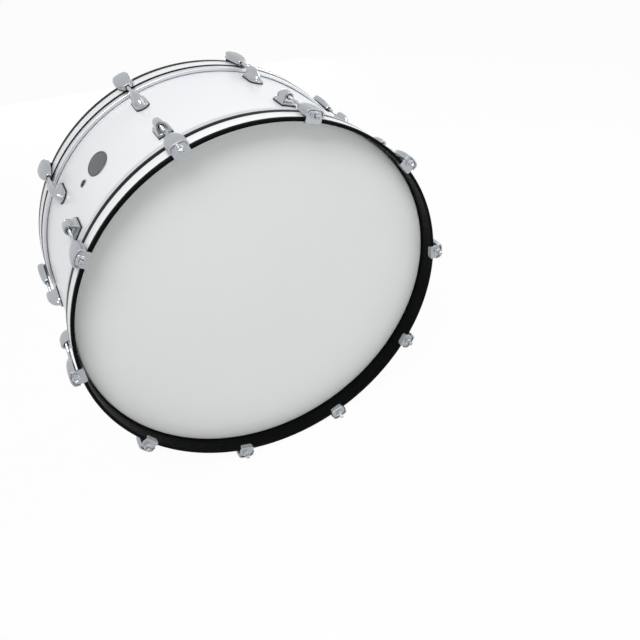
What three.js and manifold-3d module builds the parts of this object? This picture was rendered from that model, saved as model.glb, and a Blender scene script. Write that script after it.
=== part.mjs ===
// A marching bass drum for straps, with heads of 26 in and ten tension rods on each head.
// Millimetres, +Z up. The drum's axis lies along Y, the front head faces -Y, and the drum stands
// on its four lowest claws with z = 0 under them.
// Every end piece is shaped for the rear end, where outward is +Y, and half a turn about Z makes
// the front one. Hardware is shaped at the top of the drum (x across, y along the axis, z the
// distance from the drum's axis) and then turned round the axis to its place.
import * as THREE from "three";
import { mergeVertices } from "three/addons/utils/BufferGeometryUtils.js";
import Module from "manifold-3d";

const wasm = await Module();
wasm.setup();

// Shell and wooden hoops
const SHELL_RADIUS = 329;
const SHELL_WALL = 7;
const SHELL_DEPTH = 285;
const HOOP_RADIUS = 337;
const HOOP_THICKNESS = 6;
const HOOP_WIDTH = 42;
const HOOP_EDGE_ROUND = 1.8;
const HEAD_RECESS = 33;
const RING_FACETS = 60;

// Bearing edge of the shell: how far its peak lies inside the outer face, and how far the slopes drop
const PEAK_INSET = 2.6;
const OUTER_SLOPE = 2.8;
const INNER_SLOPE = 4.2;

// Heads: a plastic film with a collar, glued into a metal flesh hoop
const FILM = 0.3;
const FLESH_HOOP_WIDTH = 12.4;
const FLESH_HOOP_RADIUS = 336.2;
const COLLAR_RADIUS = 329.9;
const COLLAR_TUCK = 2;

// Tension hardware
const RODS_PER_HEAD = 10;
const ROD_CIRCLE = 343.5;
const ROD_RADIUS = 3;
const ROD_TAIL = 66;
const ROD_HOLE = 3.6;
const WASHER_RADIUS = 7;
const WASHER_RIM = 1;
const COLLAR_HEIGHT = 2.4;
const COLLAR_HALF_WIDTH = 4.6;
const KEY_SQUARE = 6.4;
const KEY_HEIGHT = 9;

// Claw: half widths and crowns are those of the leaf from its narrow end to the hoop's face
const CLAW_HALF_WIDTH = 14;
const CLAW_PLATE = 3.2;
const CLAW_WALL = 2.4;
const CLAW_LENGTH = 50;
const CLAW_SKIRT = 341;
const CLAW_BROW = 1;
const CLAW_CORNER = 3.5;
const CLAW_LIP_DEPTH = 11;
const CLAW_LIP_WALL = 2.1;
const LEAF_HALF_WIDTHS = [6, 14, 17.5, 15.5];
const LEAF_CROWNS = [348.6, 353.4, 354.4, 353.6];
const LEAF_SQUARENESS = 2.6;
const LEAF_SHOULDER = 0.55;

const LUG_HOOP_END = 88.5;
const LUG_INNER_END = 43.5;
const LUG_FOOT_HALF_WIDTH = 12;
const LUG_FOOT_HEIGHT = 4;
const LUG_HALF_WIDTH = 8;
const LUG_BASE_HALF_WIDTH = 11.2;
const LUG_ROOF = 8.8;
const LUG_STRAIGHT = 12;
const LUG_SQUARENESS = 2.6;
const LUG_SHOULDER = 0.4;
const LUG_BORE_END = 58;
const LUG_MOUTH_RADIUS = 5.6;
const LUG_MOUTH_DEPTH = 8;
const LUG_MOUTH_SETBACK = 3;

// Oval badge and air vent, both half way between the heads
const BADGE_HALF_WIDTH = 22;
const BADGE_HALF_LENGTH = 32;
const BADGE_THICKNESS = 1.2;
const BADGE_ANGLE = -38;
const VENT_ANGLE = -45;
const VENT_BORE = 3;
const VENT_TUBE = 4.2;
const VENT_FLANGE = 7;
const VENT_FLANGE_THICKNESS = 1.3;
const VENT_INNER_FLANGE = 1;
const VENT_CHAMFER = 0.7;

// Clearance between pieces that touch, and how far a cutter runs past what it cuts
const GAP = 0.3;
const PAST = 5;

// Facets that stray less than this from their neighbours are merged
const SMOOTHING = 0.05;

// Places along the axis, from the middle of the drum outwards
const EDGE = SHELL_DEPTH / 2;
const HOOP_FACE = EDGE + HEAD_RECESS;
const HOOP_BACK = HOOP_FACE - HOOP_WIDTH;
const FLESH_TOP = HOOP_BACK - GAP;
const FLESH_BOTTOM = FLESH_TOP - FLESH_HOOP_WIDTH;
const CLAW_BACK = HOOP_FACE + 0.4;
const CLAW_FACE = CLAW_BACK + CLAW_PLATE;
const WASHER_SEAT = CLAW_FACE + GAP;
const HOOP_BORE = HOOP_RADIUS - HOOP_THICKNESS;
const CLAW_NARROW_END = CLAW_FACE - CLAW_LENGTH;
const CLAW_LOWEST = HOOP_BORE - GAP - CLAW_LIP_WALL;
const LUG_MOUTH = LUG_HOOP_END - LUG_MOUTH_SETBACK;
const FACET_DEPTH = Math.cos(Math.PI / RING_FACETS);

const FINISHES = {
  wrap: { color: 0xf1f2f4, roughness: 0.22, metalness: 0 },
  film: { color: 0xf4f4f2, roughness: 0.5, metalness: 0 },
  lacquer: { color: 0x0b0c0d, roughness: 0.25, metalness: 0 },
  aluminium: { color: 0xc9cacd, roughness: 0.4, metalness: 1 },
  casting: { color: 0xb9bdc0, roughness: 0.35, metalness: 1 },
  chrome: { color: 0xdadcde, roughness: 0.12, metalness: 1 },
  badge: { color: 0x4a4d50, roughness: 0.4, metalness: 0.6 },
};

const drum = new THREE.Group();

// Solids and meshes

function toSolid(geometry) {
  const bare = geometry.clone();
  bare.deleteAttribute("normal");
  bare.deleteAttribute("uv");
  const merged = mergeVertices(bare);
  const corners = merged.index.array;
  const kept = [];
  for (let i = 0; i < corners.length; i += 3) {
    const [a, b, c] = corners.slice(i, i + 3);
    if (a !== b && b !== c && c !== a) kept.push(a, b, c);
  }
  const vertProperties = merged.attributes.position.array;
  return new wasm.Manifold(new wasm.Mesh({ numProp: 3, vertProperties, triVerts: new Uint32Array(kept) }));
}

function toGeometry(solid) {
  const mesh = solid.asOriginal().simplify(SMOOTHING).getMesh();
  const geometry = new THREE.BufferGeometry();
  geometry.setAttribute("position", new THREE.BufferAttribute(mesh.vertProperties, 3));
  geometry.setIndex(new THREE.BufferAttribute(mesh.triVerts, 1));
  geometry.computeVertexNormals();
  return geometry;
}

function addMesh(name, geometry, finish, { angle = 0, front = false } = {}) {
  const mesh = new THREE.Mesh(geometry, new THREE.MeshStandardMaterial(FINISHES[finish]));
  mesh.name = name;
  mesh.rotation.z = front ? Math.PI : 0;
  const turned = new THREE.Group();
  turned.rotation.y = THREE.MathUtils.degToRad(angle);
  turned.add(mesh);
  drum.add(turned);
}

// A ring or disc turned about the drum's axis, from [radius, y] points that run round its section
function turnedPiece(points, facets = RING_FACETS) {
  return new THREE.LatheGeometry(points.map(([radius, y]) => new THREE.Vector2(radius, y)), facets);
}

function closed(points) {
  return [...points, points[0]];
}

function cylinderAlongY(radius, from, to, facets) {
  return new THREE.CylinderGeometry(radius, radius, to - from, facets).translate(0, (from + to) / 2, 0);
}

function box(width, from, to, low, high) {
  const made = new THREE.BoxGeometry(width, to - from, high - low);
  return made.translate(0, (from + to) / 2, (low + high) / 2);
}

// A body through loops of points that all run the same way round, closed flat at both ends
function loft(loops) {
  const size = loops[0].length;
  const positions = loops.flat().flatMap((point) => point.toArray());
  const faces = [];
  for (let ring = 0; ring + 1 < loops.length; ring++) {
    for (let i = 0; i < size; i++) {
      const here = ring * size + i;
      const next = ring * size + ((i + 1) % size);
      faces.push(here, next, here + size, next, next + size, here + size);
    }
  }
  const last = (loops.length - 1) * size;
  for (let i = 1; i + 1 < size; i++) {
    faces.push(0, i + 1, i);
    faces.push(last, last + i, last + i + 1);
  }
  const geometry = new THREE.BufferGeometry();
  geometry.setAttribute("position", new THREE.Float32BufferAttribute(positions, 3));
  geometry.setIndex(faces);
  return geometry;
}

// Arch on straight legs, as one loop at y. A squareness of 2 is half round, and more is flatter on top.
// The legs lean out by spread where they end.
function archLoop(y, halfWidth, foot, spring, crown, steps, squareness = 2, spread = 0) {
  const power = 2 / squareness;
  const loop = [new THREE.Vector3(halfWidth + spread, y, foot)];
  for (let i = 0; i <= steps; i++) {
    const turn = (Math.PI * i) / steps;
    const across = Math.sign(Math.cos(turn)) * Math.abs(Math.cos(turn)) ** power;
    const rise = Math.abs(Math.sin(turn)) ** power;
    loop.push(new THREE.Vector3(halfWidth * across, y, spring + (crown - spring) * rise));
  }
  loop.push(new THREE.Vector3(-halfWidth - spread, y, foot));
  return loop.reverse();
}

function roundedRectangle(left, right, low, high, round) {
  const shape = new THREE.Shape();
  shape.absarc(right - round, low + round, round, -Math.PI / 2, 0);
  shape.absarc(right - round, high - round, round, 0, Math.PI / 2);
  shape.absarc(left + round, high - round, round, Math.PI / 2, Math.PI);
  shape.absarc(left + round, low + round, round, Math.PI, 1.5 * Math.PI);
  return shape;
}

// Shell: a ply tube with rounded bearing edges and a hole for the air vent

function bearingEdge(side) {
  const peak = SHELL_RADIUS - PEAK_INSET;
  const inner = SHELL_RADIUS - SHELL_WALL;
  const points = [[SHELL_RADIUS, EDGE - OUTER_SLOPE], [peak, EDGE], [inner, EDGE - INNER_SLOPE]];
  return side > 0 ? points : points.map(([radius, y]) => [radius, -y]).reverse();
}

function shell() {
  const tube = toSolid(turnedPiece(closed([...bearingEdge(-1), ...bearingEdge(1)])));
  const drill = new THREE.CylinderGeometry(VENT_TUBE + GAP, VENT_TUBE + GAP, SHELL_WALL + 2 * PAST, 12);
  drill.rotateX(Math.PI / 2).translate(0, 0, SHELL_RADIUS - SHELL_WALL / 2);
  drill.rotateY(THREE.MathUtils.degToRad(VENT_ANGLE));
  return toGeometry(tube.subtract(toSolid(drill)));
}

// Air vent: a metal eyelet through the shell, flanged on both sides
function ventGrommet() {
  const outside = SHELL_RADIUS * FACET_DEPTH + GAP;
  const inside = (SHELL_RADIUS - SHELL_WALL) * FACET_DEPTH - GAP;
  const profile = [
    [VENT_BORE, inside - VENT_INNER_FLANGE],
    [VENT_FLANGE - VENT_INNER_FLANGE, inside - VENT_INNER_FLANGE],
    [VENT_FLANGE - VENT_INNER_FLANGE, inside],
    [VENT_TUBE, inside],
    [VENT_TUBE, outside],
    [VENT_FLANGE, outside],
    [VENT_FLANGE - VENT_CHAMFER, outside + VENT_FLANGE_THICKNESS],
    [VENT_BORE + VENT_CHAMFER, outside + VENT_FLANGE_THICKNESS],
    [VENT_BORE, outside + VENT_FLANGE_THICKNESS - VENT_CHAMFER],
  ];
  return turnedPiece(closed(profile), 12).rotateX(Math.PI / 2);
}

// Badge: a thin oval plate that follows the shell's curve, longer from head to head than round the shell
function badgePlate() {
  const low = SHELL_RADIUS + GAP;
  const high = low + BADGE_THICKNESS;
  const reach = BADGE_HALF_LENGTH + PAST;
  const band = turnedPiece(closed([[low, -reach], [high, -reach], [high, reach], [low, reach]]));
  const oval = new THREE.CylinderGeometry(1, 1, 4 * PAST, 24).scale(BADGE_HALF_WIDTH, 1, BADGE_HALF_LENGTH);
  oval.rotateX(Math.PI / 2).translate(0, 0, SHELL_RADIUS).rotateY(THREE.MathUtils.degToRad(BADGE_ANGLE));
  return toGeometry(toSolid(band).intersect(toSolid(oval)));
}

// Head film: flat to the bearing edge, over it, and as a collar down to the flesh hoop
function headFilm() {
  const under = EDGE + GAP;
  const top = under + FILM;
  const bend = SHELL_RADIUS - PEAK_INSET + GAP;
  const shoulder = EDGE - OUTER_SLOPE;
  const hem = FLESH_BOTTOM + COLLAR_TUCK;
  return turnedPiece([
    [0, under],
    [bend, under],
    [COLLAR_RADIUS - FILM, shoulder],
    [COLLAR_RADIUS, hem],
    [COLLAR_RADIUS + FILM, hem],
    [COLLAR_RADIUS, shoulder],
    [bend, top],
    [0, top],
  ]);
}

// Flesh hoop: the metal channel round the film, on which the wooden hoop presses
function fleshHoop() {
  const inner = COLLAR_RADIUS + FILM + GAP;
  const outer = FLESH_HOOP_RADIUS;
  return turnedPiece(closed([
    [inner, FLESH_BOTTOM],
    [outer, FLESH_BOTTOM],
    [outer, FLESH_TOP],
    [inner, FLESH_TOP],
  ]));
}

// Wooden hoop, with its outer edges rounded over
function hoop() {
  const round = HOOP_EDGE_ROUND;
  return turnedPiece(closed([
    [HOOP_BORE, HOOP_BACK],
    [HOOP_RADIUS - round, HOOP_BACK],
    [HOOP_RADIUS, HOOP_BACK + round],
    [HOOP_RADIUS, HOOP_FACE - round],
    [HOOP_RADIUS - round, HOOP_FACE],
    [HOOP_BORE, HOOP_FACE],
  ]));
}

// Claw: a hollow leaf over the rod, a front plate across the hoop's face under the leaf's brow, and
// a lip that hooks inside the hoop

function bezier(t, a, b, c, d) {
  const s = 1 - t;
  return s * s * s * a + 3 * s * s * t * b + 3 * s * t * t * c + t * t * t * d;
}

// Where the leaf's sections lie, as shares of its length from the narrow end
const LEAF_STATIONS = [0, 0.12, 0.34, 0.68, 1];
const HOLLOW_STATIONS = [0, 0.3, 1];

function leaf(from, to, foot, inset, stations, steps) {
  const loops = stations.map((station) => {
    const y = from + station * (to - from);
    const t = (y - CLAW_NARROW_END) / CLAW_LENGTH;
    const halfWidth = bezier(t, ...LEAF_HALF_WIDTHS) - inset;
    const crown = bezier(t, ...LEAF_CROWNS) - inset;
    const spring = crown - LEAF_SHOULDER * (crown - CLAW_SKIRT);
    return archLoop(y, halfWidth, foot, spring, crown, steps, LEAF_SQUARENESS);
  });
  return toSolid(loft(loops));
}

function frontPlate() {
  const shape = roundedRectangle(-CLAW_HALF_WIDTH, CLAW_HALF_WIDTH, CLAW_LOWEST, ROD_CIRCLE, CLAW_CORNER);
  const depth = CLAW_PLATE;
  const plate = new THREE.ExtrudeGeometry(shape, { depth, bevelEnabled: false, curveSegments: 1 });
  return toSolid(plate.rotateX(Math.PI / 2).translate(0, CLAW_FACE, 0));
}

function lip() {
  const inPlate = CLAW_FACE - CLAW_PLATE / 2;
  const profile = new THREE.Shape();
  profile.moveTo(CLAW_FACE - CLAW_LIP_DEPTH, CLAW_LOWEST + 1);
  profile.lineTo(CLAW_FACE - CLAW_LIP_DEPTH + 1, CLAW_LOWEST);
  profile.lineTo(inPlate, CLAW_LOWEST);
  profile.lineTo(inPlate, HOOP_BORE + GAP);
  profile.lineTo(CLAW_FACE - CLAW_LIP_DEPTH, HOOP_BORE + GAP);
  profile.closePath();
  const width = 2 * (CLAW_HALF_WIDTH - CLAW_CORNER / 2);
  const made = new THREE.ExtrudeGeometry(profile, { depth: width, bevelEnabled: false });
  made.applyMatrix4(new THREE.Matrix4().makeBasis(
    new THREE.Vector3(0, 1, 0), new THREE.Vector3(0, 0, 1), new THREE.Vector3(1, 0, 0)));
  return toSolid(made.translate(-width / 2, 0, 0));
}

// What the claw leaves free for the hoop, with a clearance that is negative where the two are one
function hoopRoom(clearance) {
  const low = HOOP_BORE - clearance;
  const high = HOOP_RADIUS + clearance;
  const face = clearance > 0 ? CLAW_BACK : HOOP_FACE + clearance;
  const back = HOOP_BACK - PAST;
  return toSolid(turnedPiece(closed([[low, back], [high, back], [high, face], [low, face]])));
}

function claw(clearance) {
  const from = CLAW_NARROW_END;
  const outside = leaf(from, CLAW_FACE + CLAW_BROW, CLAW_SKIRT, 0, LEAF_STATIONS, 4);
  const hollow = leaf(from + CLAW_WALL, CLAW_BACK, CLAW_SKIRT - PAST, CLAW_WALL, HOLLOW_STATIONS, 3);
  const underBrow = leaf(CLAW_FACE, CLAW_FACE + PAST, CLAW_SKIRT - PAST, CLAW_WALL, [0, 1], 4);
  const rodHole = cylinderAlongY(ROD_HOLE, from - PAST, CLAW_FACE + PAST, 8).translate(0, 0, ROD_CIRCLE);
  const rodSlot = box(2 * ROD_HOLE, from - PAST, from + PAST, CLAW_SKIRT - PAST, ROD_CIRCLE);
  return outside
    .subtract(hollow)
    .subtract(underBrow)
    .subtract(toSolid(rodSlot))
    .add(frontPlate())
    .add(lip())
    .subtract(toSolid(rodHole))
    .subtract(hoopRoom(clearance));
}

// Tension rod: a screw with a wide washer under a square head for the drum key
function tensionRod() {
  const collar = WASHER_SEAT + COLLAR_HEIGHT;
  const body = turnedPiece([
    [0, ROD_TAIL],
    [ROD_RADIUS, ROD_TAIL],
    [ROD_RADIUS, WASHER_SEAT],
    [WASHER_RADIUS, WASHER_SEAT],
    [WASHER_RADIUS, WASHER_SEAT + WASHER_RIM],
    [COLLAR_HALF_WIDTH, collar],
    [0, collar],
  ], 8);
  const half = KEY_SQUARE / 2;
  const key = box(KEY_SQUARE, WASHER_SEAT + WASHER_RIM, collar + KEY_HEIGHT, -half, half);
  return toGeometry(toSolid(body).add(toSolid(key))).translate(0, 0, ROD_CIRCLE);
}

// Lug: a die-cast dome with leaning sides on a flat foot, open towards the hoop where the rod screws in

// Where the dome's sections lie, as shares of its round part from its full height to its inner end
const LUG_STATIONS = [0, 0.45, 0.75, 0.92, 0.99];

function superellipse(t, power) {
  return (1 - t ** power) ** (1 / power);
}

function lugDome() {
  const start = LUG_MOUTH - LUG_STRAIGHT;
  const length = start - LUG_INNER_END - 1;
  const low = SHELL_RADIUS + LUG_FOOT_HEIGHT - 1;
  const foot = SHELL_RADIUS - PAST;
  const loops = LUG_STATIONS.map((t) => {
    const round = superellipse(t, LUG_SQUARENESS);
    const crown = low + (ROD_CIRCLE + LUG_ROOF - low) * superellipse(t, 2);
    const spring = crown - LUG_SHOULDER * (crown - SHELL_RADIUS);
    const lean = (LUG_BASE_HALF_WIDTH - LUG_HALF_WIDTH) / (spring - SHELL_RADIUS);
    const spread = lean * (spring - foot) * round;
    return archLoop(start - t * length, LUG_HALF_WIDTH * round, foot, spring, crown, 4, 2, spread);
  });
  const front = loops[0].map((point) => point.clone().setY(LUG_MOUTH));
  return toSolid(loft([...loops.reverse(), front]));
}

// Plan of the foot: square towards the hoop, and half round at its inner end
function lugFoot() {
  const half = LUG_FOOT_HALF_WIDTH;
  const shape = new THREE.Shape();
  shape.moveTo(-half, LUG_HOOP_END);
  shape.absarc(0, LUG_INNER_END + half, half, Math.PI, 2 * Math.PI);
  shape.lineTo(half, LUG_HOOP_END);
  shape.closePath();
  const depth = LUG_FOOT_HEIGHT + PAST;
  const foot = new THREE.ExtrudeGeometry(shape, { depth, bevelEnabled: false, curveSegments: 6 });
  return toSolid(foot.translate(0, 0, SHELL_RADIUS - PAST));
}

function lug() {
  const [from, to] = [LUG_INNER_END - PAST, LUG_HOOP_END + PAST];
  const drumBody = cylinderAlongY(SHELL_RADIUS + GAP, from, to, RING_FACETS);
  const bore = cylinderAlongY(ROD_HOLE, LUG_BORE_END, LUG_HOOP_END + PAST, 8).translate(0, 0, ROD_CIRCLE);
  const mouth = cylinderAlongY(LUG_MOUTH_RADIUS, LUG_HOOP_END - LUG_MOUTH_DEPTH, LUG_HOOP_END + PAST, 8);
  mouth.translate(0, 0, ROD_CIRCLE);
  const solid = lugDome().add(lugFoot()).subtract(toSolid(drumBody)).subtract(toSolid(bore));
  return toGeometry(solid.subtract(toSolid(mouth)));
}

// Assembly

// Clearance of the rear claws, below zero so that they sink into their hoop
const FUSED = -0.2;

const hardware = { rod: tensionRod(), lug: lug(), claw: toGeometry(claw(GAP)) };
const angles = Array.from({ length: RODS_PER_HEAD }, (_, i) => (360 / RODS_PER_HEAD) * (i + 0.5));

// The rear claws are one piece with their hoop
function rearHoop() {
  let solid = toSolid(hoop());
  const fused = claw(FUSED);
  for (const angle of angles) solid = solid.add(fused.rotate([0, angle, 0]));
  return toGeometry(solid);
}

addMesh("shell", shell(), "wrap");
addMesh("vent_grommet", ventGrommet(), "chrome", { angle: VENT_ANGLE });
addMesh("badge_plate", badgePlate(), "badge");
addMesh("front_hoop", hoop(), "lacquer", { front: true });
addMesh("rear_hoop", rearHoop(), "lacquer");

for (const end of ["front", "rear"]) {
  const front = end === "front";
  addMesh(`${end}_head_film`, headFilm(), "film", { front });
  addMesh(`${end}_flesh_hoop`, fleshHoop(), "aluminium", { front });
  angles.forEach((angle, i) => {
    const number = String(i + 1).padStart(2, "0");
    if (front) addMesh(`front_claw_${number}`, hardware.claw, "casting", { angle, front });
    addMesh(`${end}_tension_rod_${number}`, hardware.rod, "chrome", { angle, front });
    addMesh(`${end}_lug_${number}`, hardware.lug, "chrome", { angle, front });
  });
}

// Stand the drum on its lowest claws
drum.updateMatrixWorld(true);
drum.position.z = -new THREE.Box3().setFromObject(drum, true).min.z;

export default drum;
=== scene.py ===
# A marching bass drum with white heads, a white wrapped shell and black wooden hoops.
# Lengths are in millimetres, and the meshes are made in metres. The drum's axis lies along Y.
# Hardware is shaped at the top of the drum, with x across it, y outwards along the axis and z the
# distance from the axis, and is then turned round the axis to its place.
import math

import bmesh
import bpy
from mathutils import Matrix, Vector


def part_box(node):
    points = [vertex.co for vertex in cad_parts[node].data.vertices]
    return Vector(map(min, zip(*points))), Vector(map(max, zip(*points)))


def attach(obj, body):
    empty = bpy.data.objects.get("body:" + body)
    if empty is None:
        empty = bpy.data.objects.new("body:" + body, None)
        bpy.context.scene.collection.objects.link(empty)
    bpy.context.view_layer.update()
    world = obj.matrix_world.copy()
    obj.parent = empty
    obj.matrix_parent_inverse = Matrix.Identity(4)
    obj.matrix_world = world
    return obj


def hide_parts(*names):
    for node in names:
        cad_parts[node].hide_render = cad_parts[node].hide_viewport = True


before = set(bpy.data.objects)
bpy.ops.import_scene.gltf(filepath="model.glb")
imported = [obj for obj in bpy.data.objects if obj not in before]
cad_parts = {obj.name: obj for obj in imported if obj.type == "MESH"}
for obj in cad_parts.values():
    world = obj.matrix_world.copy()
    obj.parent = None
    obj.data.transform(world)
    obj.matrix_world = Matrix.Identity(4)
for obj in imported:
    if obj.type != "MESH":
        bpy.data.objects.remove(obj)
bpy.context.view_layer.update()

MM = 0.001
RING_STEPS = 240
# Left between pieces that lie against each other
HAIR_GAP = 0.05

# The shell's radius is over its wrap, and half the depth is to a bearing edge
SHELL_RADIUS = 329
SHELL_WALL = 7
SHELL_HALF_DEPTH = 142.5
WRAP_THICKNESS = 0.5
HOOP_RADIUS = 337
HOOP_BORE = 331
HOOP_FACE = 175.5
HOOP_BACK = 133.5
FLESH_TOP = HOOP_BACK - 0.3
FLESH_BOTTOM = FLESH_TOP - 12.4
FILM_THICKNESS = 0.26

# The inlay lies off centre, and both hoops are fitted the same way round
INLAY_EDGES = {"front": (146.6, 169.2), "rear": (139.8, 162.4)}
INLAY_DEPTH = 0.6
# Between each edge of the inlay and the side of its groove
INLAY_GAP = 0.15

# The rods' distance from the drum's axis
ROD_CIRCLE = 343.5
ROD_RADIUS = 2.8
ROD_SIDES = 20
ROD_TAIL = 66
ROD_TAIL_RADIUS = 2.1
THREAD_END = 108
THREAD_PITCH = 25.4 / 24
THREAD_DEPTH = 0.55
WASHER_SEAT = 179.4
WASHER_RADIUS = 7
KEY_SQUARE = 6.4
KEY_HEIGHT = 9

CLAW_FACE = 179.1
CLAW_BROW = 1.4
CLAW_PLATE = 3.2
CLAW_LENGTH = 50
CLAW_WALL = 2.4
CLAW_SKIRT = 341
CLAW_LIP_DEPTH = 11
CLAW_HOLE = 4.2
# The leaf's half width and crown at its narrow end, at two control points and at the brow
LEAF_HALF_WIDTHS = (6, 14, 17.5, 15.5)
LEAF_CROWNS = (348.4, 353.2, 354.2, 353.4)
LEAF_SQUARENESS = 2.6
PLATE_HALF_WIDTH = 14
PLATE_LOW = HOOP_BORE - 2.4
PLATE_CORNER = 3.5
# How far the plate's arch lies inside the outside of the leaf's wall
PLATE_INSET = 1.1
# In front of the groove's floor the arch is this much narrower on each side
BROW_GROOVE = 2.6
BROW_GROOVE_DEPTH = 2

LUG_HOOP_END = 88.5
LUG_INNER_END = 43.5
LUG_MOUTH = 85.5
LUG_STRAIGHT = 12
LUG_HALF_WIDTH = 8
LUG_BASE_HALF_WIDTH = 11.2
LUG_CROWN = 352.2
LUG_NOSE_SQUARENESS = 2.6
LUG_FOOT_HALF_WIDTH = 12
LUG_FOOT_LOW = SHELL_RADIUS + 2.1
LUG_FOOT_TOP = SHELL_RADIUS + 5.4
GASKET_EDGE = 1
NUT_FACE = LUG_MOUTH - 3.5
NUT_LENGTH = 12

BADGE_HALF_WIDTH = 22
BADGE_HALF_LENGTH = 32
BADGE_ANGLE = -38
VENT_ANGLE = -45
VENT_HOLE = 4.5
VENT_BORE = 4
# Rings this far to each side of the middle keep the facets round the drilled hole small
VENT_RING = 7.5

AXIS_HEIGHT = (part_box("front_hoop")[0][2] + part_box("front_hoop")[1][2]) / 2
ENDS = ("front", "rear")
ANGLES = [36 * (i + 0.5) for i in range(10)]


def placed(angle, front=False):
    """Where a piece shaped at the top of the drum goes. A piece of the front end is faced about."""
    spin = Matrix.Rotation(math.radians(angle), 4, "Y")
    about = Matrix.Rotation(math.pi if front else 0, 4, "Z")
    return Matrix.Translation((0, 0, AXIS_HEIGHT)) @ spin @ about


# Mesh tools


def mesh_from(name, parts, sharp=35):
    """One mesh from (points, faces) parts in millimetres. It is shaded smooth over the edges that bend by
    less than sharp degrees."""
    made = bmesh.new()
    for points, faces in parts:
        corners = [made.verts.new(Vector(point) * MM) for point in points]
        for face in faces:
            made.faces.new([corners[i] for i in face])
    bmesh.ops.remove_doubles(made, verts=made.verts, dist=1e-7)
    bmesh.ops.recalc_face_normals(made, faces=made.faces)
    for face in made.faces:
        face.smooth = True
    for edge in made.edges:
        if len(edge.link_faces) == 2:
            edge.smooth = edge.calc_face_angle(0) < math.radians(sharp)
    mesh = bpy.data.meshes.new(name)
    made.to_mesh(mesh)
    made.free()
    return mesh


def add_piece(name, mesh, material, body, at, replaced=()):
    """One visible piece in its place on a body. Pieces of the same kind share a mesh."""
    piece = bpy.data.objects.new(name, mesh)
    bpy.context.scene.collection.objects.link(piece)
    if not mesh.materials:
        mesh.materials.append(material)
    piece.matrix_world = at
    bpy.context.view_layer.update()
    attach(piece, body)
    if replaced:
        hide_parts(*replaced)
    return piece


def full_circle(count):
    """Angles evenly spaced round a circle."""
    return [2 * math.pi * i / count for i in range(count)]


def arc(center, radius, start, end, steps):
    """2-D points on an arc, angles in degrees."""
    points = []
    for i in range(steps + 1):
        turn = math.radians(start + (end - start) * i / steps)
        points.append((center[0] + radius * math.cos(turn), center[1] + radius * math.sin(turn)))
    return points


def bezier(t, a, b, c, d):
    """A cubic curve's value at t, from a at 0 to d at 1."""
    s = 1 - t
    return s ** 3 * a + 3 * s * s * t * b + 3 * s * t * t * c + t ** 3 * d


def inset(outline, distance):
    """A loop of 2-D points moved towards its inside, for points that run anticlockwise."""
    moved = []
    for i, here in enumerate(outline):
        before, after = outline[i - 1], outline[(i + 1) % len(outline)]
        a = (Vector(here) - Vector(before)).normalized()
        b = (Vector(after) - Vector(here)).normalized()
        normal = Vector((-a.y - b.y, a.x + b.x)).normalized()
        reach = distance / max(0.5, normal.dot(Vector((-a.y, a.x))))
        moved.append((here[0] + normal.x * reach, here[1] + normal.y * reach))
    return moved


def rounded_section(corners, radii, steps):
    """A 2-D outline with each corner rounded by its own radius."""
    outline = []
    for i, corner in enumerate(corners):
        here = Vector(corner)
        if radii[i] == 0:
            outline.append(tuple(here))
            continue
        before = (Vector(corners[i - 1]) - here).normalized()
        after = (Vector(corners[(i + 1) % len(corners)]) - here).normalized()
        start, end = here + before * radii[i], here + after * radii[i]
        for step in range(steps + 1):
            t = step / steps
            outline.append(tuple((1 - t) ** 2 * start + 2 * t * (1 - t) * here + t * t * end))
    return outline


def both_ways(profile):
    """A (radius, y) profile for y above 0, with its mirror image below 0."""
    return profile + [(radius, -y) for radius, y in reversed(profile)]


def mirrored(points):
    """The same (x, y, z) points on the other side of the middle, in the opposite order."""
    return [(-x, y, z) for x, y, z in reversed(points)]


def turned(profile, steps=RING_STEPS, closed=True):
    """A ring round the y axis from (radius, y) points. Points on the axis join up."""
    points, faces = [], []
    for turn in full_circle(steps):
        for radius, y in profile:
            points.append((radius * math.sin(turn), y, radius * math.cos(turn)))
    size = len(profile)
    last = size if closed else size - 1
    for step in range(steps):
        here, there = step * size, (step + 1) % steps * size
        for i in range(last):
            j = (i + 1) % size
            ends = [profile[i][0], profile[j][0]]
            if ends == [0, 0]:
                continue
            quad = [here + i, here + j, there + j, there + i]
            if ends[0] == 0:
                quad.pop(3)
            if ends[1] == 0:
                quad.pop(2)
            faces.append(quad)
    return points, faces


def on_rod_axis(part):
    """A part shaped round the y axis, moved out to the axis of a tension rod."""
    points, faces = part
    return [(x, y, z + ROD_CIRCLE) for x, y, z in points], faces


def lofted(loops, walled=False):
    """A closed skin through loops with the same number of points. The loops of a wall run out along one
    face of it and back along the other, and its ends are closed across the wall."""
    size = len(loops[0])
    points = [point for loop in loops for point in loop]
    faces = []
    for ring in range(len(loops) - 1):
        here, there = ring * size, (ring + 1) * size
        for i in range(size):
            j = (i + 1) % size
            faces.append([here + i, here + j, there + j, there + i])
    for first in (0, (len(loops) - 1) * size):
        last = first + size - 1
        if walled:
            faces += [[first + i, first + i + 1, last - 1 - i, last - i] for i in range(size // 2 - 1)]
        else:
            faces.append(list(range(first, last + 1)))
    return points, faces


def on_shell(x, y, radius):
    """A point bent round the shell, for a piece at the top of the drum."""
    return (radius * math.sin(x / radius), y, radius * math.cos(x / radius))


def plate_over_shell(outline, levels):
    """A plate bent round the drum, through (radius, inset) levels."""
    return lofted([[on_shell(x, y, radius) for x, y in inset(outline, by)] for radius, by in levels])


def arch_points(half, foot, crown, y, shoulder=0.55, squareness=LEAF_SQUARENESS, count=28):
    """An arch from right to left over the top, as (x, y, z), that springs at a share of its height below
    the crown. More squareness makes it flatter on top."""
    spring = crown - shoulder * (crown - foot)
    power = 2 / squareness
    points = []
    for i in range(count + 1):
        c, s = math.cos(math.pi * i / count), math.sin(math.pi * i / count)
        x = math.copysign(abs(c) ** power, c)
        points.append((half * x, y, spring + (crown - spring) * max(s, 0) ** power))
    return points


# Materials


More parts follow.
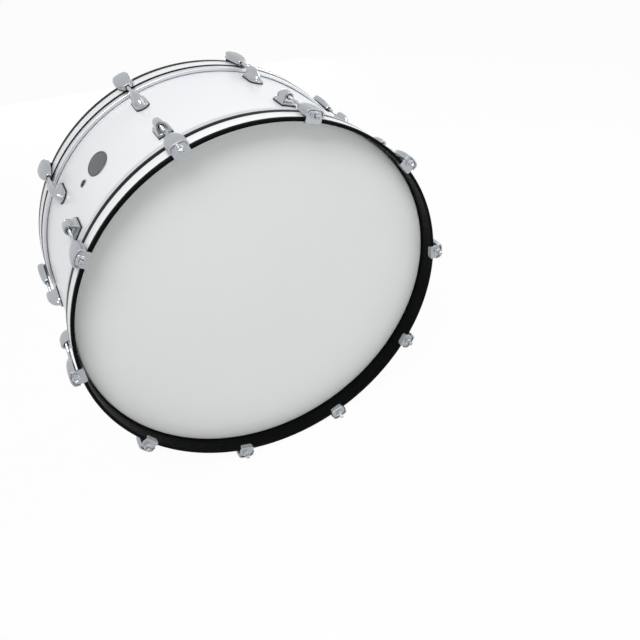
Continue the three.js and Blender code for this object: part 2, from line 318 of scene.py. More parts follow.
def linear(text):
    """An sRGB hex colour as linear RGBA."""
    values = [int(text[i:i + 2], 16) / 255 for i in (1, 3, 5)]
    return (*[v / 12.92 if v <= 0.04045 else ((v + 0.055) / 1.055) ** 2.4 for v in values], 1)


def mottle(size):
    """The scale of a noise pattern with features this many millimetres across."""
    return 1 / (size * MM)


def lines_apart(spacing):
    """The scale of a wave pattern with lines this many millimetres apart."""
    return math.pi / 10 / (spacing * MM)


def add_node(tree, kind, inputs=None, **settings):
    """One shader node. An input is a value, or another node's output."""
    node = tree.nodes.new("ShaderNode" + kind)
    for name, value in settings.items():
        setattr(node, name, value)
    for name, value in (inputs or {}).items():
        if isinstance(value, bpy.types.NodeSocket):
            tree.links.new(value, node.inputs[name])
        else:
            node.inputs[name].default_value = value
    return node


def new_material(name):
    """A material with an empty node tree."""
    material = bpy.data.materials.new(name)
    material.use_nodes = True
    tree = material.node_tree
    tree.nodes.clear()
    return material, tree


def calendered_pvc_wrap():
    """White sheet pressed flat on the shell: a soft gloss with a faint orange peel 6 mm across."""
    material, tree = new_material("calendered_pvc_wrap")
    where = add_node(tree, "TexCoord").outputs["Object"]
    peel = add_node(tree, "TexNoise", {"Vector": where, "Scale": mottle(6.25), "Detail": 1.5})
    cloud = add_node(tree, "TexNoise", {"Vector": where, "Scale": mottle(200), "Detail": 2})
    tint = add_node(tree, "MapRange", {"Value": cloud.outputs["Fac"], "From Min": 0.3, "From Max": 0.7})
    colour = add_node(tree, "Mix", {"Factor": tint.outputs["Result"], "A": linear("#eef0f3"),
                                    "B": linear("#f2f3f4")}, data_type="RGBA")
    gloss = add_node(tree, "MapRange", {"Value": peel.outputs["Fac"], "To Min": 0.2, "To Max": 0.28})
    bump = add_node(tree, "Bump", {"Height": peel.outputs["Fac"], "Strength": 0.05, "Distance": 0.4 * MM})
    shader = add_node(tree, "BsdfPrincipled", {
        "Base Color": colour.outputs["Result"], "Roughness": gloss.outputs["Result"], "IOR": 1.53,
        "Normal": bump.outputs["Normal"]})
    add_node(tree, "OutputMaterial", {"Surface": shader.outputs["BSDF"]})
    return material


def rolled_pvc_inlay():
    """White strip rolled into the hoop's groove: as glossy as the shell, with slow waves 17 mm across."""
    material, tree = new_material("rolled_pvc_inlay")
    where = add_node(tree, "TexCoord").outputs["Object"]
    waves = add_node(tree, "TexNoise", {"Vector": where, "Scale": mottle(16.67), "Detail": 1})
    bump = add_node(tree, "Bump", {"Height": waves.outputs["Fac"], "Strength": 0.06, "Distance": 0.5 * MM})
    gloss = add_node(tree, "MapRange", {"Value": waves.outputs["Fac"], "To Min": 0.2, "To Max": 0.3})
    shader = add_node(tree, "BsdfPrincipled", {
        "Base Color": linear("#f0f1f2"), "Roughness": gloss.outputs["Result"], "IOR": 1.53,
        "Normal": bump.outputs["Normal"]})
    add_node(tree, "OutputMaterial", {"Surface": shader.outputs["BSDF"]})
    return material


def coated_polyester_film():
    """Drum head with a sprayed white coat: an even satin with a fine tooth, drawn 1 mm across to show."""
    material, tree = new_material("coated_polyester_film")
    where = add_node(tree, "TexCoord").outputs["Object"]
    tooth = add_node(tree, "TexNoise", {"Vector": where, "Scale": mottle(1), "Detail": 2})
    cloud = add_node(tree, "TexNoise", {"Vector": where, "Scale": mottle(250), "Detail": 3})
    colour = add_node(tree, "Mix", {"Factor": cloud.outputs["Fac"], "A": linear("#e3e5e3"),
                                    "B": linear("#e8e9e8")}, data_type="RGBA")
    bump = add_node(tree, "Bump", {"Height": tooth.outputs["Fac"], "Strength": 0.12, "Distance": 0.2 * MM})
    shader = add_node(tree, "BsdfPrincipled", {
        "Base Color": colour.outputs["Result"], "Roughness": 0.48, "IOR": 1.57,
        "Normal": bump.outputs["Normal"]})
    add_node(tree, "OutputMaterial", {"Surface": shader.outputs["BSDF"]})
    return material


def lacquered_beech_hoop():
    """Bent ply under black lacquer: satin, with soft streaks of the grain below round the hoop, 22 mm long
    and 3 mm wide, and specks 1 mm across. The lacquer reflects little, as in the photograph."""
    material, tree = new_material("lacquered_beech_hoop")
    where = add_node(tree, "TexCoord").outputs["Object"]
    stretched = add_node(tree, "Mapping", {"Vector": where, "Scale": (1, 8, 1)})
    grain = add_node(tree, "TexNoise", {"Vector": stretched.outputs["Vector"], "Scale": mottle(22.22),
                                        "Detail": 4})
    specks = add_node(tree, "TexNoise", {"Vector": where, "Scale": mottle(1.111), "Detail": 1})
    gloss = add_node(tree, "MapRange", {"Value": grain.outputs["Fac"], "From Min": 0.3, "From Max": 0.7,
                                        "To Min": 0.24, "To Max": 0.36})
    height = add_node(tree, "Math", {0: grain.outputs["Fac"], 1: specks.outputs["Fac"]}, operation="ADD")
    bump = add_node(tree, "Bump", {"Height": height.outputs["Value"], "Strength": 0.06,
                                   "Distance": 0.3 * MM})
    shader = add_node(tree, "BsdfPrincipled", {
        "Base Color": linear("#0b0c0c"), "Roughness": gloss.outputs["Result"], "IOR": 1.5,
        "Specular IOR Level": 0.03, "Normal": bump.outputs["Normal"]})
    add_node(tree, "OutputMaterial", {"Surface": shader.outputs["BSDF"]})
    return material


def anodised_aluminium_channel():
    """Flesh hoop drawn through rollers: matte anodised, with faint lines along it 1.2 mm apart."""
    material, tree = new_material("anodised_aluminium_channel")
    where = add_node(tree, "TexCoord").outputs["Object"]
    lines = add_node(tree, "TexWave", {"Vector": where, "Scale": lines_apart(1.2083), "Distortion": 1.5,
                                       "Detail": 2}, bands_direction="Y")
    gloss = add_node(tree, "MapRange", {"Value": lines.outputs["Fac"], "To Min": 0.4, "To Max": 0.52})
    bump = add_node(tree, "Bump", {"Height": lines.outputs["Fac"], "Strength": 0.08, "Distance": 0.2 * MM})
    shader = add_node(tree, "BsdfPrincipled", {
        "Base Color": linear("#d3d5d8"), "Metallic": 1, "Roughness": gloss.outputs["Result"],
        "Normal": bump.outputs["Normal"]})
    add_node(tree, "OutputMaterial", {"Surface": shader.outputs["BSDF"]})
    return material


def plated_zinc_casting():
    """Claws cast in zinc, tumbled and plated: satin, with soft waves 8 mm across from the mould and a
    grit 0.7 mm across."""
    material, tree = new_material("plated_zinc_casting")
    where = add_node(tree, "TexCoord").outputs["Object"]
    waves = add_node(tree, "TexNoise", {"Vector": where, "Scale": mottle(8.333), "Detail": 2})
    grit = add_node(tree, "TexNoise", {"Vector": where, "Scale": mottle(0.7143), "Detail": 1})
    gloss = add_node(tree, "MapRange", {"Value": waves.outputs["Fac"], "From Min": 0.3, "From Max": 0.7,
                                        "To Min": 0.3, "To Max": 0.4})
    height = add_node(tree, "Math", {0: waves.outputs["Fac"], 1: grit.outputs["Fac"]}, operation="ADD")
    bump = add_node(tree, "Bump", {"Height": height.outputs["Value"], "Strength": 0.08,
                                   "Distance": 0.2 * MM})
    shader = add_node(tree, "BsdfPrincipled", {
        "Base Color": linear("#a9adb1"), "Metallic": 1, "Roughness": gloss.outputs["Result"],
        "Normal": bump.outputs["Normal"]})
    add_node(tree, "OutputMaterial", {"Surface": shader.outputs["BSDF"]})
    return material


def polished_chrome_casting():
    """Lugs cast in zinc, buffed and chromed: bright, with the slight ripples of buffing 11 mm across."""
    material, tree = new_material("polished_chrome_casting")
    where = add_node(tree, "TexCoord").outputs["Object"]
    ripple = add_node(tree, "TexNoise", {"Vector": where, "Scale": mottle(11.11), "Detail": 1})
    bump = add_node(tree, "Bump", {"Height": ripple.outputs["Fac"], "Strength": 0.12, "Distance": 0.4 * MM})
    gloss = add_node(tree, "MapRange", {"Value": ripple.outputs["Fac"], "To Min": 0.14, "To Max": 0.2})
    shader = add_node(tree, "BsdfPrincipled", {
        "Base Color": linear("#adb0b4"), "Metallic": 1, "Roughness": gloss.outputs["Result"],
        "Normal": bump.outputs["Normal"]})
    add_node(tree, "OutputMaterial", {"Surface": shader.outputs["BSDF"]})
    return material


def chromed_steel_rod():
    """Rods and washers turned from steel and chromed: bright, with fine rings 0.6 mm apart."""
    material, tree = new_material("chromed_steel_rod")
    where = add_node(tree, "TexCoord").outputs["Object"]
    rings = add_node(tree, "TexWave", {"Vector": where, "Scale": lines_apart(0.6283), "Distortion": 1},
                     bands_direction="Y")
    bump = add_node(tree, "Bump", {"Height": rings.outputs["Fac"], "Strength": 0.05, "Distance": 0.1 * MM})
    gloss = add_node(tree, "MapRange", {"Value": rings.outputs["Fac"], "To Min": 0.13, "To Max": 0.2})
    shader = add_node(tree, "BsdfPrincipled", {
        "Base Color": linear("#b6b9bc"), "Metallic": 1, "Roughness": gloss.outputs["Result"],
        "Normal": bump.outputs["Normal"]})
    add_node(tree, "OutputMaterial", {"Surface": shader.outputs["BSDF"]})
    return material


def oil_blackened_steel_nut():
    """Swivel nut turned from steel and blackened by heat and oil: dark grey, with stains 3 mm across."""
    material, tree = new_material("oil_blackened_steel_nut")
    where = add_node(tree, "TexCoord").outputs["Object"]
    stain = add_node(tree, "TexNoise", {"Vector": where, "Scale": mottle(3.333), "Detail": 3})
    gloss = add_node(tree, "MapRange", {"Value": stain.outputs["Fac"], "To Min": 0.3, "To Max": 0.5})
    shader = add_node(tree, "BsdfPrincipled", {
        "Base Color": linear("#4a4a4c"), "Metallic": 1, "Roughness": gloss.outputs["Result"]})
    add_node(tree, "OutputMaterial", {"Surface": shader.outputs["BSDF"]})
    return material


def moulded_rubber_gasket():
    """Black rubber under each lug: dull, with a dusty bloom in patches 2 mm across."""
    material, tree = new_material("moulded_rubber_gasket")
    where = add_node(tree, "TexCoord").outputs["Object"]
    bloom = add_node(tree, "TexNoise", {"Vector": where, "Scale": mottle(2), "Detail": 3})
    colour = add_node(tree, "Mix", {"Factor": bloom.outputs["Fac"], "A": linear("#0d0d0e"),
                                    "B": linear("#1a1a1b")}, data_type="RGBA")
    bump = add_node(tree, "Bump", {"Height": bloom.outputs["Fac"], "Strength": 0.2, "Distance": 0.2 * MM})
    shader = add_node(tree, "BsdfPrincipled", {
        "Base Color": colour.outputs["Result"], "Roughness": 0.75, "IOR": 1.52,
        "Normal": bump.outputs["Normal"]})
    add_node(tree, "OutputMaterial", {"Surface": shader.outputs["BSDF"]})
    return material


def sealed_maple_ply():
    """Shell and its bearing edges, clear-sealed maple: pale streaks of grain 3 mm wide, round the shell."""
    material, tree = new_material("sealed_maple_ply")
    where = add_node(tree, "TexCoord").outputs["Object"]
    stretched = add_node(tree, "Mapping", {"Vector": where, "Scale": (6, 30, 6)})
    grain = add_node(tree, "TexNoise", {"Vector": stretched.outputs["Vector"], "Scale": mottle(83.33),
                                        "Detail": 6})
    colour = add_node(tree, "Mix", {"Factor": grain.outputs["Fac"], "A": linear("#b98d5f"),
                                    "B": linear("#d8b384")}, data_type="RGBA")
    bump = add_node(tree, "Bump", {"Height": grain.outputs["Fac"], "Strength": 0.1, "Distance": 0.3 * MM})
    shader = add_node(tree, "BsdfPrincipled", {
        "Base Color": colour.outputs["Result"], "Roughness": 0.5, "IOR": 1.5,
        "Normal": bump.outputs["Normal"]})
    add_node(tree, "OutputMaterial", {"Surface": shader.outputs["BSDF"]})
    return material


def brushed_anodised_badge():
    """Badge and vent eyelet of dark anodised aluminium, brushed one way with lines 0.4 mm apart."""
    material, tree = new_material("brushed_anodised_badge")
    where = add_node(tree, "TexCoord").outputs["Object"]
    stretched = add_node(tree, "Mapping", {"Vector": where, "Scale": (1, 60, 1)})
    lines = add_node(tree, "TexNoise", {"Vector": stretched.outputs["Vector"], "Scale": mottle(25),
                                        "Detail": 3})
    gloss = add_node(tree, "MapRange", {"Value": lines.outputs["Fac"], "To Min": 0.3, "To Max": 0.5})
    bump = add_node(tree, "Bump", {"Height": lines.outputs["Fac"], "Strength": 0.15, "Distance": 0.1 * MM})
    shader = add_node(tree, "BsdfPrincipled", {
        "Base Color": linear("#5c6064"), "Metallic": 1, "Roughness": gloss.outputs["Result"],
        "Normal": bump.outputs["Normal"]})
    add_node(tree, "OutputMaterial", {"Surface": shader.outputs["BSDF"]})
    return material


WRAP = calendered_pvc_wrap()
INLAY = rolled_pvc_inlay()
FILM = coated_polyester_film()
LACQUER = lacquered_beech_hoop()
CHANNEL = anodised_aluminium_channel()
CASTING = plated_zinc_casting()
CHROME_CASTING = polished_chrome_casting()
CHROME = chromed_steel_rod()
NUT = oil_blackened_steel_nut()
RUBBER = moulded_rubber_gasket()
PLY = sealed_maple_ply()
BADGE = brushed_anodised_badge()


# Shell, vent and badge


def drill_vent(piece):
    """Cuts the vent's hole through a piece of the shell."""
    inside, outside = SHELL_RADIUS - 19, SHELL_RADIUS + 11
    loops = [[(VENT_HOLE * math.cos(a), VENT_HOLE * math.sin(a), z) for a in full_circle(32)]
             for z in (inside, outside)]
    cutter = bpy.data.objects.new("vent_cutter", mesh_from("vent_cutter", [lofted(loops)]))
    bpy.context.scene.collection.objects.link(cutter)
    cutter.matrix_world = placed(VENT_ANGLE)
    cut = piece.modifiers.new("vent_hole", "BOOLEAN")
    cut.operation = "DIFFERENCE"
    cut.object = cutter
    cut.solver = "EXACT"
    bpy.context.view_layer.update()
    evaluated = piece.evaluated_get(bpy.context.evaluated_depsgraph_get())
    drilled = bpy.data.meshes.new_from_object(evaluated)
    piece.modifiers.clear()
    piece.data = drilled
    bpy.data.objects.remove(cutter)


def build_shell():
    """A ply tube with rounded bearing edges, and the wrap round it, both drilled for the vent."""
    half = SHELL_HALF_DEPTH
    outer = SHELL_RADIUS - WRAP_THICKNESS - 0.1
    peak = SHELL_RADIUS - 2.6
    inner = SHELL_RADIUS - SHELL_WALL
    wall = [(outer, VENT_RING), (outer, half - 2.8), (outer - 0.5, half - 1.5), (peak + 0.6, half - 0.3),
            (peak, half), (peak - 0.8, half - 0.4), (inner, half - 4.2), (inner, VENT_RING)]
    mesh = mesh_from("shell_ply_tube", [turned(both_ways(wall))])
    drill_vent(add_piece("shell_ply_tube", mesh, PLY, "shell", placed(0), ["shell"]))
    high, low, hem = SHELL_RADIUS, SHELL_RADIUS - WRAP_THICKNESS, half - 3
    sheet = [(high, VENT_RING), (high, hem - 0.2), (high - 0.2, hem), (low, hem), (low, VENT_RING)]
    mesh = mesh_from("shell_wrap_sheet", [turned(both_ways(sheet))])
    drill_vent(add_piece("shell_wrap_sheet", mesh, WRAP, "shell", placed(0)))


def build_vent():
    """A metal eyelet with the badge's dark finish, rolled over on both faces of the shell."""
    bore, low, high = VENT_BORE, SHELL_RADIUS - SHELL_WALL, SHELL_RADIUS + 0.1
    profile = [(bore, low - 0.6), (4.3, low - 1.1), (5.6, low - 1.1), (6.2, low - 0.5), (6, low - 0.2),
               (4.35, low - 0.2), (4.35, high), (6.6, high), (7, high + 0.4), (6.6, high + 0.95),
               (5.8, high + 1.25), (4.9, high + 1.05), (4.25, high + 0.5), (bore, high - 0.3)]
    points, faces = turned(profile, 48)
    upright = [(x, z, y) for x, y, z in points]
    mesh = mesh_from("vent_eyelet", [(upright, faces)], 60)
    add_piece("vent_eyelet", mesh, BADGE, "shell", placed(VENT_ANGLE), ["vent_grommet"])


def build_badge():
    """A thin oval plate bent to the shell, with a raised rim and a groove inside it."""
    # Distance in from the edge and height, up the edge, over the rim, and across the field inside it
    levels = [(0.1, 0), (0, 0.2), (0, 0.7), (0.15, 1.1), (0.5, 1.35), (1.6, 1.35), (1.9, 1.25), (2.1, 0.75),
              (2.5, 0.75), (2.8, 1), (3.4, 1.12), (8, 1.15), (13, 1.15), (18, 1.15)]
    loops = []
    for by, height in levels:
        across, along = BADGE_HALF_WIDTH - by, BADGE_HALF_LENGTH - by
        loops.append([on_shell(across * math.cos(a), along * math.sin(a), SHELL_RADIUS + HAIR_GAP + height)
                      for a in full_circle(96)])
    mesh = mesh_from("badge_plate", [lofted(loops)])
    add_piece("badge_oval_plate", mesh, BADGE, "shell", placed(BADGE_ANGLE), ["badge_plate"])


# Heads and hoops


def build_film(end, at):
    """Flat to the bearing edge, rolled over it, and down a collar into the flesh hoop."""
    half = SHELL_HALF_DEPTH + 0.3
    bend = [(SHELL_RADIUS - 3.2, half), (SHELL_RADIUS - 1.8, half - 0.25), (SHELL_RADIUS - 0.5, half - 1),
            (SHELL_RADIUS + 0.3, half - 2.2), (SHELL_RADIUS + 0.6, half - 3.6),
            (SHELL_RADIUS + 0.9, half - 8), (SHELL_RADIUS + 0.95, FLESH_BOTTOM + 2)]
    flat = [(radius, half) for radius in (0, 80, 160, 230, 290, 318)]
    inner = flat + bend
    outer = []
    for radius, y in reversed(inner):
        # The film is thick along y where it is flat, and across y down its collar
        outwards = FILM_THICKNESS * min(1, max(0, (radius - 320) / 9))
        upwards = FILM_THICKNESS * (1 if radius < SHELL_RADIUS else 0.2)
        outer.append((radius + outwards, y + upwards))
    mesh = mesh_from(f"{end}_film", [turned(inner + outer, closed=False)], 50)
    add_piece(f"{end}_coated_film", mesh, FILM, f"{end}_hoop", at, [f"{end}_head_film"])


def build_flesh_hoop(end, at):
    """A drawn channel, crimped on the film's collar and rounded at its lower edge."""
    inner, outer = SHELL_RADIUS + 1.6, HOOP_RADIUS - 0.8
    corners = [(inner, FLESH_BOTTOM), (outer, FLESH_BOTTOM), (outer, FLESH_TOP), (inner, FLESH_TOP)]
    section = rounded_section(corners, [0.4, 1.6, 0.7, 0.3], 4)
    mesh = mesh_from(f"{end}_flesh", [turned(section)])
    add_piece(f"{end}_flesh_channel", mesh, CHANNEL, f"{end}_hoop", at,
              [f"{end}_flesh_hoop"])


def build_hoop(end, at):
    """Bent ply with rounded edges and a groove, and the inlay in the groove."""
    floor = HOOP_RADIUS - INLAY_DEPTH
    low, high = INLAY_EDGES[end]
    groove_low, groove_high = low - INLAY_GAP, high + INLAY_GAP
    corners = [(HOOP_BORE, HOOP_BACK), (HOOP_RADIUS, HOOP_BACK), (HOOP_RADIUS, groove_low),
               (floor, groove_low), (floor, groove_high), (HOOP_RADIUS, groove_high),
               (HOOP_RADIUS, HOOP_FACE), (HOOP_BORE, HOOP_FACE)]
    wood = rounded_section(corners, [1.2, 1.8, 0.2, 0, 0, 0.2, 1.8, 1.4], 5)
    mesh = mesh_from(f"{end}_hoop_wood", [turned(wood)])
    add_piece(f"{end}_wooden_hoop", mesh, LACQUER, f"{end}_hoop", at, [f"{end}_hoop"])
    inner = floor + HAIR_GAP
    strip = rounded_section([(inner, low), (HOOP_RADIUS, low), (HOOP_RADIUS, high), (inner, high)],
                            [0.12] * 4, 2)
    mesh = mesh_from(f"{end}_inlay", [turned(strip)])
    add_piece(f"{end}_hoop_inlay", mesh, INLAY, f"{end}_hoop", at)


# Claws


def leaf_size(y):
    """The leaf's half width and crown at y."""
    t = (y - CLAW_FACE + CLAW_LENGTH) / CLAW_LENGTH
    return bezier(t, *LEAF_HALF_WIDTHS), bezier(t, *LEAF_CROWNS)


def leaf_loop(y, bevel=0):
    """One loop round the leaf's wall: over its outside, down to a beaded rim, and back along the inside."""
    half, crown = leaf_size(y)
    inner_half = max(CLAW_HOLE, half - CLAW_WALL + bevel * 0.5)
    inner_crown = max(ROD_CIRCLE + CLAW_HOLE - 0.2, crown - CLAW_WALL + bevel * 0.5)
    half, crown = half - bevel, crown - bevel
    foot = CLAW_SKIRT
    bead = [(half + 0.1, y, foot), (half + 0.55, y, foot + 0.3), (half + 0.6, y, foot + 1),
            (half, y, foot + 1.8)]
    inner_edge = [(inner_half, y, z) for _, _, z in bead]
    outside = bead + arch_points(half, foot, crown, y) + mirrored(bead)
    inside = inner_edge + arch_points(inner_half, foot, inner_crown, y) + mirrored(inner_edge)
    return outside + inside[::-1]


def claw_leaf():
    """The hollow leaf, from its narrow end, which has a thick ring round the rod, to the brow over the
    plate."""
    end, brow = CLAW_FACE - CLAW_LENGTH, CLAW_FACE + CLAW_BROW
    stages = 16
    loops = [leaf_loop(end, 0.8), leaf_loop(end + 0.25, 0.35), leaf_loop(end + 0.8)]
    loops += [leaf_loop(end + 0.8 + (CLAW_LENGTH - 1.5) * (i / stages)) for i in range(1, stages + 1)]
    loops += [leaf_loop(brow - 0.3), leaf_loop(brow - 0.1, 0.15), leaf_loop(brow, 0.4)]
    return lofted(loops, walled=True)


def claw_plate():
    """The front plate behind the brow, with a groove along the brow and rounded lower corners."""
    half, crown = leaf_size(CLAW_FACE)
    half, crown = half - PLATE_INSET, crown - PLATE_INSET
    shoulder, neck = CLAW_SKIRT + 0.4, CLAW_SKIRT - 0.5
    side, low = PLATE_HALF_WIDTH - PLATE_CORNER, PLATE_LOW + PLATE_CORNER
    bottom = [(-half, shoulder), (-PLATE_HALF_WIDTH, neck)]
    bottom += arc((-side, low), PLATE_CORNER, 180, 270, 7) + arc((side, low), PLATE_CORNER, 270, 360, 7)
    bottom += [(PLATE_HALF_WIDTH, neck), (half, shoulder)]
    back, floor, face = CLAW_FACE - CLAW_PLATE, CLAW_FACE - BROW_GROOVE_DEPTH, CLAW_FACE
    # Place along y, inset of the whole outline, and how much narrower the arch is
    levels = [(back, 0.5, 0), (back + 0.2, 0.1, 0), (back + 0.6, 0, 0), (floor, 0, 0),
              (floor, 0, BROW_GROOVE), (face - 0.8, 0, BROW_GROOVE), (face - 0.25, 0.2, BROW_GROOVE),
              (face, 0.8, BROW_GROOVE), (face, 1.6, BROW_GROOVE)]
    loops = []
    for y, by, narrower in levels:
        top = arch_points(half - narrower, CLAW_SKIRT, crown - narrower, y)
        loops.append([(x, y, z) for x, z in inset([(x, z) for x, _, z in top] + bottom, by)])
    return lofted(loops)


def claw_lip():
    """The tongue that hooks inside the hoop and follows its bore, with rounded free corners."""
    half, root, end = PLATE_HALF_WIDTH - 1.6, CLAW_FACE - 0.9, CLAW_FACE - CLAW_LIP_DEPTH
    plan = rounded_section([(half, root), (-half, root), (-half, end), (half, end)], [0.5, 0.5, 6, 6], 8)
    levels = [(PLATE_LOW + 0.05, 0.8), (PLATE_LOW + 0.15, 0.3), (PLATE_LOW + 0.5, 0), (HOOP_BORE - 0.6, 0),
              (HOOP_BORE - 0.3, 0.4)]
    return plate_over_shell(plan, levels)


def claw_mesh():
    """A whole claw: the leaf over the rod, the plate on the hoop's face and the lip inside the hoop."""
    return mesh_from("claw_casting", [claw_leaf(), claw_plate(), claw_lip()], 40)


# Tension rods


def thread_depth(turn, y):
    """How far the thread's surface lies below its crest."""
    phase = (y / THREAD_PITCH - turn / (2 * math.pi)) % 1
    return THREAD_DEPTH * abs(2 * phase - 1)


def rod_ring(y, radius):
    """A plain ring of points round the rod."""
    return [(radius * math.cos(a), y, radius * math.sin(a)) for a in full_circle(ROD_SIDES)]


def threaded_shank():
    """The rod from its flat tail to its head, with a thread of four rings to each turn that fades out."""
    rings = [rod_ring(ROD_TAIL, 0.6), rod_ring(ROD_TAIL, ROD_TAIL_RADIUS)]
    rise = THREAD_PITCH / 4
    count = round((THREAD_END - ROD_TAIL) / rise)
    for i in range(count + 1):
        y = ROD_TAIL + 0.4 + i * rise
        fade = min(1, (count - i) / 6)
        ring = []
        for a in full_circle(ROD_SIDES):
            radius = ROD_RADIUS - fade * thread_depth(a, y)
            ring.append((radius * math.cos(a), y, radius * math.sin(a)))
        rings.append(ring)
    rings.append(rod_ring(WASHER_SEAT + 0.5, ROD_RADIUS))
    return lofted(rings)


def rod_mesh():
    """The shank, with a collar that sits on the washer and a square head for its key."""
    seat = WASHER_SEAT + 1.5
    collar = turned([(0, seat), (4.6, seat), (4.9, seat + 0.3), (4.8, seat + 1), (3.6, seat + 1.9),
                     (0, seat + 2)], 32, closed=False)
    half = KEY_SQUARE / 2
    square = rounded_section([(half, half), (-half, half), (-half, -half), (half, -half)], [0.7] * 4, 3)
    top = WASHER_SEAT + 2.4 + KEY_HEIGHT
    levels = [(seat + 0.5, 0), (top - 1.1, 0), (top - 0.4, 0.4), (top, 1.2)]
    key = lofted([[(x, y, z) for x, z in inset(square, by)] for y, by in levels])
    return mesh_from("key_rod", [on_rod_axis(part) for part in (threaded_shank(), collar, key)], 40)


def washer_mesh():
    """A washer with a slightly coned top, between a claw and its rod's collar."""
    bore, edge, low, seat = 3.1, WASHER_RADIUS, CLAW_FACE + HAIR_GAP, WASHER_SEAT
    profile = [(bore, low), (edge - 0.2, low), (edge, low + 0.3), (edge, seat + 0.7),
               (edge - 0.4, seat + 1.1), (4.2, seat + 1.5), (bore, seat + 1.5)]
    return mesh_from("rod_washer", [on_rod_axis(turned(profile, 40))], 40)


# Lugs


def foot_outline(grow):
    """Plan of the lug's foot: square towards the hoop, and half round at the other end."""
    half = LUG_FOOT_HALF_WIDTH + grow
    high = LUG_HOOP_END + grow
    round_end = arc((0, LUG_INNER_END + LUG_FOOT_HALF_WIDTH), half, 180, 360, 32)
    return round_end + [(half, LUG_MOUTH - 10), (half, high - 0.6), (half - 0.6, high), (0.6 - half, high),
                        (-half, high - 0.6), (-half, LUG_MOUTH - 10)]


def dome_section(y, width_share, crown, bevel=0):
    """The lug's arch at y, on legs that lean out to the foot."""
    foot = LUG_FOOT_TOP - 0.4
    spring = crown - 0.4 * (crown - SHELL_RADIUS)
    lean = (LUG_BASE_HALF_WIDTH - LUG_HALF_WIDTH) * width_share / (spring - SHELL_RADIUS)
    half = LUG_HALF_WIDTH * width_share - bevel
    wide = half + lean * (spring - foot)
    leg = [(wide + 0.5, y, foot), (wide + 0.15, y, foot + 0.5), (wide - lean, y, foot + 1),
           (half + lean * (spring - foot) * 0.5, y, (foot + spring) / 2)]
    arch = arch_points(half, SHELL_RADIUS, crown - bevel, y, 0.4, 2, 24)
    bottom = [((wide + 0.5) * k, y, foot) for k in (-0.6, -0.2, 0.2, 0.6)]
    return leg + arch + mirrored(leg) + bottom


def lug_mesh():
    """A bullet-shaped lug on its foot, open for the rod on the side of the hoop."""
    low, high = LUG_FOOT_LOW, LUG_FOOT_TOP
    foot = plate_over_shell(foot_outline(0), [(low, 0.4), (low + 0.3, 0), (high - 0.8, 0), (high - 0.25, 0.2),
                                              (high, 0.7), (high + 0.05, 3)])
    start = LUG_MOUTH - LUG_STRAIGHT
    length = start - LUG_INNER_END - 1
    base = high - 2
    stages = 18
    loops = []
    # The rounded nose, from just behind its tip, where t is nearly 1, to the straight part
    for i in range(stages, -1, -1):
        t = math.sin(math.pi / 2 * i / stages) * 0.999
        crown = base + (LUG_CROWN - base) * (1 - t ** 2) ** 0.5
        width_share = (1 - t ** LUG_NOSE_SQUARENESS) ** (1 / LUG_NOSE_SQUARENESS)
        loops.append(dome_section(start - t * length, width_share, max(crown, high + 0.1)))
    for y, by in ((LUG_MOUTH - 6, 0), (LUG_MOUTH - 0.35, 0), (LUG_MOUTH - 0.1, 0.1), (LUG_MOUTH, 0.35)):
        loops.append(dome_section(y, 1, LUG_CROWN, by))
    # The flat face, from its edge in to the rod's hole, and down the hole past the nut
    turns = [math.atan2(z - ROD_CIRCLE, x) for x, y, z in loops[-1]]
    for radius, y in ((5, LUG_MOUTH), (4.5, LUG_MOUTH - 0.2), (4.3, LUG_MOUTH - 0.8), (4.3, LUG_MOUTH - 8),
                      (3.3, LUG_MOUTH - 8.3), (3.3, LUG_MOUTH - 20)):
        loops.append([(radius * math.cos(a), y, ROD_CIRCLE + radius * math.sin(a)) for a in turns])
    return mesh_from("lug_casting", [foot, lofted(loops)], 35)


def gasket_mesh():
    """A thin pad between the shell and a lug's foot, a little wider than the foot."""
    low, high = SHELL_RADIUS + 0.1, LUG_FOOT_LOW + 0.1
    levels = [(low, 0.1), (low + 0.2, 0), (high - 0.3, 0), (high, 0.3), (high, 2.5)]
    return mesh_from("lug_gasket", [plate_over_shell(foot_outline(GASKET_EDGE), levels)], 40)


def nut_mesh():
    """The sleeve in a lug's mouth that the rod screws into."""
    bore, outer, face, back = 2.95, 4.2, NUT_FACE, NUT_FACE - NUT_LENGTH
    profile = [(bore, back), (outer, back), (outer, face - 0.4), (outer - 0.3, face), (3.3, face),
               (bore, face - 0.4)]
    return mesh_from("swivel_nut", [on_rod_axis(turned(profile, 32))], 40)


# Assembly

build_shell()
build_vent()
build_badge()
claw, rod, washer = claw_mesh(), rod_mesh(), washer_mesh()
lug, gasket, nut = lug_mesh(), gasket_mesh(), nut_mesh()
for end in ENDS:
    front = end == "front"
    hoop_body = f"{end}_hoop"
    build_film(end, placed(0, front))
    build_flesh_hoop(end, placed(0, front))
    build_hoop(end, placed(0, front))
    for i, angle in enumerate(ANGLES):
        here, n = placed(angle, front), f"{i + 1:02d}"
        rod_body = f"{end}_tension_rod_{n}"
        # The rear claws' solid is the rear hoop's own, which the wooden hoop has replaced
        claw_nodes = [f"front_claw_{n}"] if front else []
        add_piece(f"{end}_claw_casting_{n}", claw, CASTING, hoop_body, here, claw_nodes)
        add_piece(f"{end}_key_rod_{n}", rod, CHROME, rod_body, here, [rod_body])
        add_piece(f"{end}_rod_washer_{n}", washer, CHROME, rod_body, here)
        add_piece(f"{end}_lug_casting_{n}", lug, CHROME_CASTING, "shell", here,
                  [f"{end}_lug_{n}"])
        add_piece(f"{end}_lug_gasket_{n}", gasket, RUBBER, "shell", here)
        add_piece(f"{end}_swivel_nut_{n}", nut, NUT, "shell", here)


# Studio


